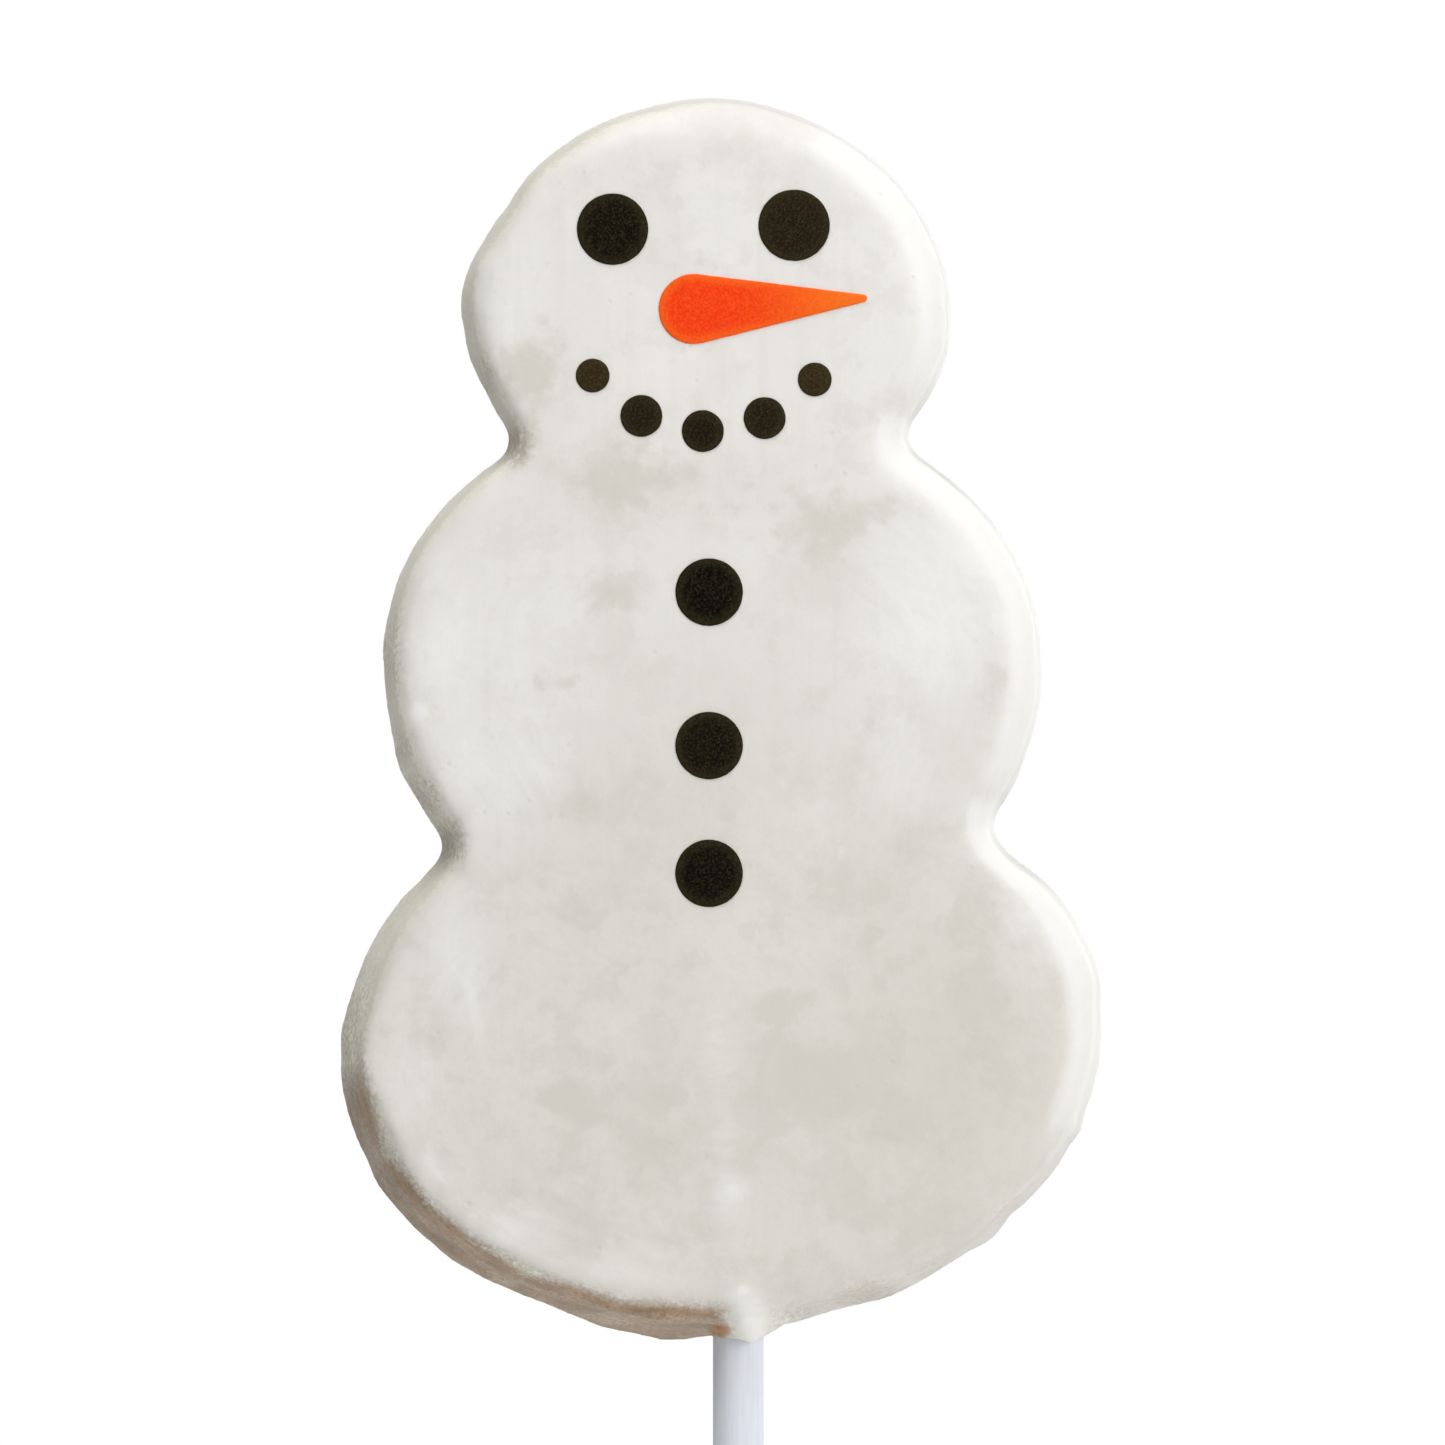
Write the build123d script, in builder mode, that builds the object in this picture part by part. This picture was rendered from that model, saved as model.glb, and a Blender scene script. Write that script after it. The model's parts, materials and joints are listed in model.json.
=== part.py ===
from build123d import *
import os

# A snowman-shaped cookie pop. A flat baked core in the outline of a three-ball
# snowman is dipped in a white coating and carried on a rolled paper stick. Eleven
# thin icing pieces sit in shallow pockets of the coating's front face: two eyes, a
# carrot nose, five mouth dots and three buttons.
#
# Millimetres. +Z runs up along the stick, the front faces -Y, and the origin is the
# centre of the stick's lower end.

# ---- Driving dimensions -------------------------------------------------------------

# Paper stick
STICK_RADIUS = 2.0
STICK_LENGTH = 150.0
STICK_STRAIGHT = 119.0  # full-size length, up to just under the seal
STICK_TIP_RADIUS = 1.85  # the buried end is squeezed slightly thinner

# Body. Thicknesses run along Y, and the stick lies at mid thickness.
BODY_Z = 120.0  # height of the body's reference line above the stick's lower end
CORE_THICK = 7.0
CORE_ROUND = 1.4  # rounding of the baked core's edges
COAT_THICK = 1.2
FRONT_ROUND = 2.5  # rounding of the coating's front edge
FOOT_LIP = 0.6  # how far the coating's foot stands outside its side wall
FOOT_THICK = 1.2
FOOT_ROUND = 0.5
NOTCH_ROUND = 1.9  # rounding of the neck and waist notches, at the foot

# Lobes of the outline: centre x, centre height above BODY_Z, half width, rise above
# the centre, drop below it, and tilt in degrees.
LOWER_LOBE = (-1.35, 23.1, 30.0, 22.7, 22.9, 5.6)
MIDDLE_LOBE = (-2.05, 53.4, 25.9, 20.3, 25.2, -0.5)
HEAD_LOBE = (-2.4, 79.65, 19.2, 17.4, 14.6, 1.5)

# Icing pieces. Centres are x and height above BODY_Z.
ICING_THICK = 0.8
ICING_PROUD = 0.3  # what stands out of the coating's face
ICING_ROUND = 0.25
EYE_RADIUS = 2.8
LEFT_EYE = (-9.85, 86.8)
RIGHT_EYE = (4.35, 87.1)
NOSE_ROOT = (-3.5, 80.55)  # centre of the carrot's round end
NOSE_RADIUS = 2.75
NOSE_LENGTH = 13.3  # from the round end's centre to the tip's centre
NOSE_TIP_RADIUS = 0.3
NOSE_TILT = 3.6  # degrees, with the tip as the higher end
SMILE_CENTRE = (-2.6, 82.1)  # centre of the arc that the mouth dots lie on
SMILE_RADIUS = 11.1
SMILE_STEP = 25.75  # degrees from dot to dot
SMILE_TURN = -1.0  # degrees that the middle dot is turned from straight down
MOUTH_DOT_RADII = (1.33, 1.65, 1.65, 1.65, 1.33)
BUTTON_RADIUS = 2.65
BUTTON_X = -2.3
BUTTON_HEIGHTS = {"top_button": 58.4, "middle_button": 46.4, "bottom_button": 36.4}

# Seal: the dab of coating that grips the stick where it enters the core. Below its
# flare it hugs the stick, and above it a sleeve runs a little way into the core.
SEAL_FOOT = (2.5, 119.5)  # radius and height of the outer edge of its lower end
SEAL_FLARE = (3.8, 121.5)
SEAL_SLEEVE = (2.6, 128.0)

# ---- Derived places -----------------------------------------------------------------

BODY_THICK = CORE_THICK + 2 * COAT_THICK
FRONT_Y = -BODY_THICK / 2
BACK_Y = BODY_THICK / 2
CORE_INSET = FOOT_LIP + COAT_THICK
ICING_BACK_Y = FRONT_Y - ICING_PROUD + ICING_THICK


def upright_plane(y):
    """The XZ plane at depth y, with its normal towards the front."""
    return Plane.XZ.offset(-y)


def snowman_outline(y, inset):
    """The three lobes drawn in by inset and joined, with their notches rounded."""
    with BuildSketch(upright_plane(y)) as outline:
        for lobe in (LOWER_LOBE, MIDDLE_LOBE, HEAD_LOBE):
            x, height, half_width, rise, drop, tilt = lobe
            centre = (x, BODY_Z + height)
            across = half_width - inset
            with BuildLine():
                EllipticalCenterArc(
                    centre, across, rise - inset, start_angle=0, arc_size=180, rotation=tilt
                )
                EllipticalCenterArc(
                    centre, across, drop - inset, start_angle=180, arc_size=180, rotation=tilt
                )
            make_face()
            if lobe is not LOWER_LOBE:
                notches = outline.vertices(Select.LAST).sort_by(Axis.Y)[:2]
                fillet(notches, radius=NOTCH_ROUND + inset)
    return outline.sketch


def front_edges(part):
    """The edges of the part's frontmost face."""
    return part.faces().sort_by(Axis.Y)[0].edges()


def icing_disc(name, centre, radius):
    """A round icing piece seated in the coating's face, its front edge softened."""
    x, height = centre
    with BuildPart() as disc:
        with BuildSketch(upright_plane(ICING_BACK_Y)):
            with Locations((x, BODY_Z + height)):
                Circle(radius)
        extrude(amount=ICING_THICK)
        fillet(front_edges(disc), radius=ICING_ROUND)
    disc.part.label = name
    return disc.part


# ---- Paper stick --------------------------------------------------------------------

with BuildPart() as lollipop_stick:
    with BuildSketch(Plane.XZ):
        with BuildLine():
            Polyline(
                (0, 0),
                (STICK_RADIUS, 0),
                (STICK_RADIUS, STICK_STRAIGHT),
                (STICK_TIP_RADIUS, STICK_LENGTH),
                (0, STICK_LENGTH),
                close=True,
            )
        make_face()
    revolve(axis=Axis.Z)
lollipop_stick.part.label = "lollipop_stick"

# ---- Seal around the stick ----------------------------------------------------------

with BuildPart() as stick_seal:
    with BuildSketch(Plane.XZ):
        with BuildLine():
            Line((0, SEAL_FOOT[1]), SEAL_FOOT)
            TangentArc(SEAL_FOOT, SEAL_FLARE, tangent=(0, 1))
            Polyline(
                SEAL_FLARE,
                (SEAL_SLEEVE[0], SEAL_FLARE[1]),
                SEAL_SLEEVE,
                (0, SEAL_SLEEVE[1]),
                (0, SEAL_FOOT[1]),
            )
        make_face()
    revolve(axis=Axis.Z)
    add(lollipop_stick.part, mode=Mode.SUBTRACT)
stick_seal.part.label = "stick_seal"

# ---- Baked core ---------------------------------------------------------------------

with BuildPart() as cookie_core:
    extrude(snowman_outline(CORE_THICK / 2, CORE_INSET), amount=CORE_THICK)
    fillet(cookie_core.faces().filter_by(Axis.Y).edges(), radius=CORE_ROUND)
    add(stick_seal.part, mode=Mode.SUBTRACT)
    add(lollipop_stick.part, mode=Mode.SUBTRACT)
cookie_core.part.label = "cookie_core"

# ---- Icing pieces -------------------------------------------------------------------

icing_pieces = [
    icing_disc("left_eye", LEFT_EYE, EYE_RADIUS),
    icing_disc("right_eye", RIGHT_EYE, EYE_RADIUS),
]

for number, radius in enumerate(MOUTH_DOT_RADII, start=1):
    turn = SMILE_TURN + (number - 3) * SMILE_STEP
    from_centre = Vector(0, -SMILE_RADIUS).rotate(Axis.Z, turn)
    place = (SMILE_CENTRE[0] + from_centre.X, SMILE_CENTRE[1] + from_centre.Y)
    icing_pieces.append(icing_disc(f"mouth_dot_{number}", place, radius))

for name, height in BUTTON_HEIGHTS.items():
    icing_pieces.append(icing_disc(name, (BUTTON_X, height), BUTTON_RADIUS))

with BuildPart() as carrot_nose:
    with BuildSketch(upright_plane(ICING_BACK_Y)):
        with Locations(Location((NOSE_ROOT[0], BODY_Z + NOSE_ROOT[1], 0), (0, 0, NOSE_TILT))):
            Circle(NOSE_RADIUS)
            with Locations((NOSE_LENGTH, 0)):
                Circle(NOSE_TIP_RADIUS)
        make_hull()
    extrude(amount=ICING_THICK)
    fillet(front_edges(carrot_nose), radius=ICING_ROUND)
carrot_nose.part.label = "carrot_nose"
icing_pieces.append(carrot_nose.part)

# ---- White coating ------------------------------------------------------------------

with BuildPart() as white_coating:
    extrude(snowman_outline(BACK_Y, 0), amount=FOOT_THICK)
    fillet(front_edges(white_coating), radius=FOOT_ROUND)
    extrude(snowman_outline(BACK_Y, FOOT_LIP), amount=BODY_THICK)
    fillet(front_edges(white_coating), radius=FRONT_ROUND)
    for inner in (cookie_core.part, stick_seal.part, lollipop_stick.part, *icing_pieces):
        add(inner, mode=Mode.SUBTRACT)
white_coating.part.label = "white_coating"

# ---- Files --------------------------------------------------------------------------

os.makedirs("parts", exist_ok=True)
for piece in (
    lollipop_stick.part,
    stick_seal.part,
    cookie_core.part,
    white_coating.part,
    *icing_pieces,
):
    export_step(piece, f"parts/{piece.label}.step")
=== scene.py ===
import json
import math
from collections import Counter

import bmesh
import bpy
import numpy as np
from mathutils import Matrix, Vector, kdtree, noise
from mathutils.bvhtree import BVHTree


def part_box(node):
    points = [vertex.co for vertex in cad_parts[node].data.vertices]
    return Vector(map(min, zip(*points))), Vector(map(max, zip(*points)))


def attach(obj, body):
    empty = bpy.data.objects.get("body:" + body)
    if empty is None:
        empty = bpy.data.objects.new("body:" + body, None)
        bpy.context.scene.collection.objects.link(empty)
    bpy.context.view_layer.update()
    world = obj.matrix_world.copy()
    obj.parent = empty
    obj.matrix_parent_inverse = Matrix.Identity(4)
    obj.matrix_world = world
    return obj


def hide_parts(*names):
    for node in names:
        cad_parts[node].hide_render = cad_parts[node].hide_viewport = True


# A snowman-shaped cookie pop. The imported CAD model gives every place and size: the
# pieces here are finer meshes of the same shapes. Meshes are worked out in
# millimetres and scaled to metres when they become objects.

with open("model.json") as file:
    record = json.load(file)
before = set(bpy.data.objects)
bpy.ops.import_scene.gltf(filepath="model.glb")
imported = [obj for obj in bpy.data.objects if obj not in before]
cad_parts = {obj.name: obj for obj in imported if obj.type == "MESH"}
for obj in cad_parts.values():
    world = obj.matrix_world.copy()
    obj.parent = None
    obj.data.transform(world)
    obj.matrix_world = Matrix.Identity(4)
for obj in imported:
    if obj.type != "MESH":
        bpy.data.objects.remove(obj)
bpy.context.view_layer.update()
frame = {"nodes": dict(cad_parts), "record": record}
MM = 0.001


def box_mm(node):
    """The lowest and highest corner of a CAD node, in millimetres."""
    low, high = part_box(node)
    return np.array(low) / MM, np.array(high) / MM


BODY_LOW, BODY_HIGH = box_mm("white_coating")
BODY_SIZE = BODY_HIGH - BODY_LOW
CORE_LOW, CORE_HIGH = box_mm("cookie_core")
STICK_LOW, STICK_HIGH = box_mm("lollipop_stick")
STICK_RADIUS = (STICK_HIGH[0] - STICK_LOW[0]) / 2
FRONT_Y, BACK_Y = BODY_LOW[1], BODY_HIGH[1]


def place(u, v):
    """The point at u of the body's width from its left and v of its height from its foot."""
    return np.array([BODY_LOW[0] + u * BODY_SIZE[0], BODY_LOW[2] + v * BODY_SIZE[2]])


LOWER_CENTRE = place(0.495, 0.237)

# ---- Small helpers ------------------------------------------------------------------


def smooth_step(low, high, value):
    """0 below low and 1 above high, with a smooth rise between."""
    t = np.clip((value - low) / (high - low), 0, 1)
    return t * t * (3 - 2 * t)


def bump_at(value, middle, half_width):
    """A bell of height 1 at middle that has died out by about twice half_width."""
    return np.exp(-(((value - middle) / half_width) ** 2))


def noise_at(points, size, seed):
    """Smooth noise from about -1 to 1 at each point, with features about size apart."""
    shift = Vector((seed * 17.31, seed * 5.17, seed * 9.73))
    return np.array([noise.noise(Vector(p) / size + shift) for p in points])


def layered_noise(points, layers):
    """Noise of several sizes added up, from the height, the size and the seed of each."""
    return sum(height * noise_at(points, size, seed) for height, size, seed in layers)


def points_of(mesh, value="co"):
    vectors = np.empty(len(mesh.vertices) * 3)
    mesh.vertices.foreach_get(value, vectors)
    return vectors.reshape(-1, 3)


def normals_of(mesh):
    return points_of(mesh, "normal")


def set_points(mesh, points):
    mesh.vertices.foreach_set("co", points.ravel())
    mesh.update()


def set_attribute(mesh, name, values):
    """A number at each point of the mesh, which a material reads by its name."""
    made = mesh.attributes.new(name, "FLOAT", "POINT")
    made.data.foreach_set("value", np.asarray(values, np.float32))


def new_object(name, data):
    made = bpy.data.objects.new(name, data)
    bpy.context.scene.collection.objects.link(made)
    return made


def mesh_from(made, name):
    """The bmesh as a mesh. The bmesh is freed."""
    mesh = bpy.data.meshes.new(name)
    made.to_mesh(mesh)
    made.free()
    return mesh


def join_rings(made, lower, upper):
    """Adds the band of faces between two rings that have as many points each."""
    count = len(lower)
    for i in range(count):
        j = (i + 1) % count
        made.faces.new((lower[i], lower[j], upper[j], upper[i]))


def add_ball(made, x, y, z, radius):
    ball = bmesh.ops.create_icosphere(made, subdivisions=3, radius=radius)
    bmesh.ops.translate(made, vec=(x, y, z), verts=ball["verts"])


def remeshed(mesh, voxel):
    """The closed mesh made again of even quads about voxel across."""
    carrier = new_object("carrier", mesh)
    remesh = carrier.modifiers.new("even", "REMESH")
    remesh.mode = "VOXEL"
    remesh.voxel_size = voxel
    graph = bpy.context.evaluated_depsgraph_get()
    made = bpy.data.meshes.new_from_object(carrier.evaluated_get(graph))
    bpy.data.objects.remove(carrier)
    return made


def relaxed(mesh, rounds, share=0.5):
    """Moves each point part of the way to the middle of its neighbours, for some rounds."""
    edges = np.empty(len(mesh.edges) * 2, np.int64)
    mesh.edges.foreach_get("vertices", edges)
    a, b = edges.reshape(-1, 2).T
    points = points_of(mesh)
    count = np.bincount(np.r_[a, b], minlength=len(points)).astype(float)
    share = np.broadcast_to(share, len(points))[:, None]
    for _ in range(rounds):
        total = np.zeros_like(points)
        for axis in range(3):
            total[:, axis] = np.bincount(a, points[b, axis], len(points))
            total[:, axis] += np.bincount(b, points[a, axis], len(points))
        points += share * (total / count[:, None] - points)
    set_points(mesh, points)


def scaled_copy(node):
    """A closed copy of a CAD node's mesh, in millimetres."""
    made = bmesh.new()
    made.from_mesh(frame["nodes"][node].data)
    bmesh.ops.remove_doubles(made, verts=made.verts, dist=1e-7)
    bmesh.ops.scale(made, vec=(1 / MM,) * 3, verts=made.verts)
    return mesh_from(made, node)


def finished(name, mesh, material, slot, *nodes):
    """The mesh as a piece in metres that stands for the named CAD nodes."""
    mesh.name = name
    set_points(mesh, points_of(mesh) * MM)
    mesh.shade_smooth()
    mesh.materials.clear()
    mesh.materials.append(material)
    piece = new_object(name, mesh)
    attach(piece, "root")
    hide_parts(*nodes)
    return piece


# ---- Outline of the body ------------------------------------------------------------

OUTLINE_STEP = 0.3
OUTLINE_SOFTNESS = 3  # rounds of smoothing that take the CAD mesh's corners off


def resampled(line, step):
    """The closed line with its points about step apart."""
    closed = np.vstack([line, line[:1]])
    along = np.r_[0, np.cumsum(np.hypot(*np.diff(closed, axis=0).T))]
    count = round(along[-1] / step)
    at = np.arange(count) * along[-1] / count
    return np.c_[np.interp(at, along, closed[:, 0]), np.interp(at, along, closed[:, 1])]


def softened(line, rounds):
    """The closed line with its corners taken off."""
    for _ in range(rounds):
        line = (np.roll(line, 1, 0) + 2 * line + np.roll(line, -1, 0)) / 4
    return line


def cad_outline():
    """The rim of the coating's flat back, read from the CAD mesh."""
    mesh = frame["nodes"]["white_coating"].data
    points = points_of(mesh) / MM
    at_back = points[:, 1] > BACK_Y - 1e-3
    key = [tuple(np.round(p, 4)) for p in points]
    used = Counter()
    for polygon in mesh.polygons:
        corners = list(polygon.vertices)
        if all(at_back[i] for i in corners):
            for i, j in zip(corners, corners[1:] + corners[:1]):
                used[frozenset((key[i], key[j]))] += 1
    beside = {}
    for edge, times in used.items():
        if times == 1:
            a, b = edge
            beside.setdefault(a, []).append(b)
            beside.setdefault(b, []).append(a)
    start = min(beside, key=lambda p: p[2])
    walk, last, here = [start], None, start
    while True:
        ahead = [p for p in beside[here] if p != last]
        last, here = here, ahead[0]
        if here == start:
            break
        walk.append(here)
    return np.array(walk)[:, [0, 2]]


def outward(line):
    """The unit normal of a closed line at each point, away from its inside."""
    ahead = np.roll(line, -1, 0) - np.roll(line, 1, 0)
    normal = np.c_[ahead[:, 1], -ahead[:, 0]]
    normal /= np.linalg.norm(normal, axis=1)[:, None]
    centre = line.mean(0)
    if ((line - centre) * normal).sum() < 0:
        normal = -normal
    return normal


OUTLINE = softened(resampled(cad_outline(), OUTLINE_STEP), OUTLINE_SOFTNESS)
OUTLINE_NORMAL = outward(OUTLINE)
OUTLINE_LENGTH = len(OUTLINE) * OUTLINE_STEP

# ---- The coating's closed form ------------------------------------------------------

COAT_VOXEL = 0.345
FOOT_ROUND = 0.45  # rounding of the foot's lower edge
FOOT_TOP = 1.6  # height above the back at which the foot has merged with the wall
FOOT_INSET = 0.25  # how far the wall's lower end stands inside the foot

# The wall leans in, and a round shoulder joins it to the face. Both differ round the
# body: the middle value, how much more it is on one side, and that side in degrees.
WALL_LEAN = (0.85, 0.6, 200)
LEAST_LEAN = 0.15
SHOULDER_WIDTH = (2.45, 1.15, 20)
SHOULDER_DEPTH = (2.1, 0.45, 25)

# Lumps of the side wall: place, height in mm, half width in mm
WALL_LUMPS = (
    ((0.095, 0.503), 1.3, 1.1),
    ((0.115, 0.468), -0.55, 2.0),
    ((0.155, 0.425), -0.4, 2.0),
    ((0.045, 0.31), -0.3, 3.0),
    ((0.03, 0.235), 0.25, 1.2),
    ((0.085, 0.105), 0.3, 1.6),
    ((0.19, 0.05), -0.25, 2.5),
    ((0.965, 0.165), 0.15, 1.2),
    ((0.81, 0.06), 0.15, 1.3),
    ((0.16, 0.87), 0.35, 1.4),
)

# Where the shoulder is sharper or rounder than its side of the body
SHOULDER_LUMPS = (
    ((0.0, 0.235), -1.1, 4.5),
    ((0.165, 0.80), 0.6, 5.0),
    ((0.25, 0.93), 0.5, 5.0),
    ((0.12, 0.65), 0.7, 5.0),
    ((0.02, 0.52), 0.6, 5.0),
    ((0.93, 0.13), 1.0, 7.0),
    ((0.80, 0.05), 1.0, 6.0),
    ((0.66, 0.02), 0.6, 5.0),
)

# Unevenness of the outline, all round and low down: height in mm, size in mm and seed
EDGE_WOBBLE = ((0.10, 6.0, 1), (0.04, 2.0, 2))
LOWER_WOBBLE = ((0.16, 4.5, 3), (0.06, 1.6, 4))
DRIP_HEIGHT = 0.10
DRIP_SHIFT = 9  # how far the drips' noise moves on from the wall's foot to its top

# Lumps and hollows of the outline itself
OUTLINE_LUMPS = (
    ((0.965, 0.165), 0.35, 0.9),
    ((0.945, 0.14), 0.15, 1.6),
    ((0.85, 0.075), 0.25, 1.3),
    ((0.895, 0.095), -0.2, 1.3),
    ((0.80, 0.05), -0.25, 2.5),
    ((0.74, 0.03), 0.1, 1.5),
    ((0.64, 0.015), -0.35, 3.5),
    ((0.255, 0.022), -0.3, 3.5),
    ((0.345, 0.008), 0.3, 2.0),
    ((0.43, 0.0), 0.55, 3.2),
    ((0.07, 0.12), 0.15, 2.0),
    ((0.08, 0.46), 0.3, 2.0),
    ((0.055, 0.455), 0.12, 2.5),
    ((0.83, 0.4), -0.6, 2.6),
    ((0.895, 0.388), -0.6, 2.6),
    ((0.99, 0.295), 0.35, 2.6),
    ((0.91, 0.51), 0.2, 2.5),
    ((0.167, 0.845), 0.45, 2.6),
    ((0.195, 0.765), -0.3, 2.4),
    ((0.21, 0.915), -0.3, 2.6),
    ((0.49, 1.0), 0.3, 7.0),
    ((0.27, 0.93), 0.1, 1.2),
)


def round_the_body(amounts):
    """A value at each outline point, from its middle value, its swing and its side."""
    middle, swing, side = amounts
    towards = np.array([math.cos(math.radians(side)), math.sin(math.radians(side))])
    return middle + swing * OUTLINE_NORMAL @ towards


def lumps_at(lumps):
    total = np.zeros(len(OUTLINE))
    for (u, v), height, width in lumps:
        away = np.linalg.norm(OUTLINE - place(u, v), axis=1)
        total += height * bump_at(away, 0, width)
    return total


def rings_of_the_form():
    """Each ring from the back to the face: how far inside the outline, and its depth."""
    at = np.c_[OUTLINE, np.zeros(len(OUTLINE))]
    low_down = smooth_step(BODY_LOW[2] + 50, BODY_LOW[2] + 20, OUTLINE[:, 1])
    wobble = layered_noise(at, EDGE_WOBBLE)
    wobble += low_down * layered_noise(at, LOWER_WOBBLE)
    wobble += lumps_at(OUTLINE_LUMPS)
    lean = round_the_body(WALL_LEAN) * (0.45 + 0.75 * low_down)
    lean *= 1 + 0.25 * noise_at(at, 7.0, 5)
    lean = np.maximum(lean - lumps_at(WALL_LUMPS), LEAST_LEAN)
    width = round_the_body(SHOULDER_WIDTH) * (1 + 0.2 * noise_at(at, 8.0, 6))
    width += lumps_at(SHOULDER_LUMPS)
    deep = round_the_body(SHOULDER_DEPTH)
    wall_foot, wall_top = BACK_Y - FOOT_TOP, FRONT_Y + deep
    for angle in np.linspace(0, math.pi / 2, 5):
        inset = FOOT_ROUND * (1 - math.sin(angle))
        depth = BACK_Y - FOOT_ROUND * (1 - math.cos(angle))
        yield inset - wobble, np.full_like(wobble, depth)
    for t in np.linspace(0.2, 1, 5):
        inset = FOOT_INSET * float(smooth_step(0, 1, t))
        depth = BACK_Y - FOOT_ROUND - t * (FOOT_TOP - FOOT_ROUND)
        yield inset - wobble, np.full_like(wobble, depth)
    for t in np.linspace(0.12, 1, 9):
        shifted = at + np.array([0, 0, DRIP_SHIFT * t])
        drips = DRIP_HEIGHT * noise_at(shifted, 3.0, 7) * math.sin(math.pi * t)
        yield FOOT_INSET + t * lean - wobble - drips, wall_foot + t * (wall_top - wall_foot)
    for angle in np.linspace(0, math.pi / 2, 11)[1:]:
        fade = 1 - float(smooth_step(0.3, 1.2, angle))
        inset = FOOT_INSET + lean + width * (1 - math.cos(angle)) - wobble * fade
        yield inset, wall_top - deep * math.sin(angle)


# The dab that seals the stick, as blobs: x, depth behind the face, height above the
# body's foot, and radius, in mm
DAB_BLOBS = (
    (0.25, 1.05, 3.6, 0.9),
    (0.3, 1.3, 2.9, 1.3),
    (0.45, 1.75, 2.1, 1.7),
    (0.65, 2.05, 1.4, 1.75),
    (0.8, 2.3, 0.8, 1.55),
    (0.9, 2.35, 0.4, 1.25),
    (1.0, 2.4, 0.05, 0.95),
    (0.3, 2.5, 0.45, 0.85),
    (1.8, 2.8, 0.6, 1.0),
    (2.6, 3.1, 1.1, 1.0),
    (3.4, 3.6, 1.5, 0.95),
    (4.2, 4.2, 1.8, 0.85),
    (-0.5, 2.6, 0.95, 0.85),
    (-1.3, 2.7, 1.0, 0.75),
)


def closed_form():
    """The coating's outer form: its rings joined and capped, with the dab's blobs."""
    made = bmesh.new()
    rings = []
    for inset, depth in rings_of_the_form():
        line = OUTLINE - OUTLINE_NORMAL * inset[:, None]
        rings.append([made.verts.new((x, y, z)) for (x, z), y in zip(line, depth)])
    for lower, upper in zip(rings, rings[1:]):
        join_rings(made, lower, upper)
    made.faces.new(rings[0])
    made.faces.new(rings[-1])
    bmesh.ops.recalc_face_normals(made, faces=made.faces)
    bmesh.ops.triangulate(made, faces=[f for f in made.faces if len(f.verts) > 4])
    for x, behind, up, radius in DAB_BLOBS:
        add_ball(made, x, FRONT_Y + behind, BODY_LOW[2] + up, radius)
    return remeshed(mesh_from(made, "coating_form"), COAT_VOXEL)


# ---- Relief and staining of the coating ---------------------------------------------

# Blotches where the coating is thinner: place, half width, half height, strength
BLOTCHES = (
    ((0.385, 0.69), 5.6, 2.0, 0.9),
    ((0.500, 0.670), 3.2, 1.0, 0.6),
    ((0.630, 0.655), 3.2, 2.4, 0.85),
    ((0.700, 0.675), 2.4, 1.4, 0.5),
    ((0.350, 0.602), 2.2, 1.7, 0.75),
    ((0.285, 0.528), 2.6, 0.7, 0.6),
    ((0.330, 0.430), 1.8, 1.2, 0.6),
    ((0.570, 0.263), 1.5, 1.3, 1.25),
    ((0.640, 0.205), 3.6, 3.2, 1.2),
    ((0.297, 0.193), 1.9, 1.2, 1.2),
    ((0.330, 0.178), 1.4, 0.8, 1.0),
    ((0.415, 0.160), 3.4, 2.2, 0.5),
    ((0.255, 0.785), 2.6, 2.2, 0.9),
    ((0.245, 0.725), 1.6, 2.2, 0.6),
    ((0.480, 0.865), 2.0, 1.2, 0.4),
    ((0.830, 0.660), 1.8, 2.6, 0.4),
    ((0.860, 0.520), 1.3, 2.2, 0.5),
    ((0.700, 0.500), 0.9, 1.6, 0.5),
    ((0.830, 0.330), 2.4, 2.4, 0.4),
)

# Whiter places, partly where the coating is thicker and partly painted highlight where raised
# relief catches the light: place, half width, half height, strength
PALE_SPOTS = (
    ((0.529, 0.037), 0.5, 0.45, 0.9),
    ((0.525, 0.030), 1.5, 1.2, 0.45),
    ((0.538, 0.006), 1.2, 1.5, 0.9),
    ((0.535, 0.022), 1.7, 1.9, 0.6),
    ((0.508, 0.112), 2.0, 2.4, 0.34),
    ((0.502, 0.155), 1.6, 4.0, 0.3),
    ((0.497, 0.24), 1.8, 5.5, 0.42),
    ((0.25, 0.57), 7.0, 11.0, 0.45),
    ((0.21, 0.455), 6.0, 5.0, 0.6),
    ((0.225, 0.83), 3.5, 5.0, 0.4),
    ((0.155, 0.30), 2.8, 6.0, 0.55),
    ((0.10, 0.20), 2.4, 6.0, 0.45),
    ((0.13, 0.135), 3.5, 4.0, 0.4),
    ((0.23, 0.085), 5.0, 2.6, 0.45),
    ((0.37, 0.055), 6.0, 2.2, 0.4),
    ((0.165, 0.715), 3.0, 2.6, 0.4),
    ((0.14, 0.56), 2.4, 7.0, 0.6),
    ((0.105, 0.505), 0.9, 0.8, 0.9),
    ((0.78, 0.595), 6.0, 9.0, 0.75),
    ((0.73, 0.47), 3.5, 6.0, 0.5),
    ((0.90, 0.33), 3.0, 5.0, 0.5),
    ((0.68, 0.82), 5.0, 10.0, 0.35),
)

# The dab itself, which carries no stain
DAB_SPOTS = (
    ((0.535, 0.010), 1.6, 1.9, 1.3),
    ((0.529, 0.037), 1.4, 1.6, 1.0),
)

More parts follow.
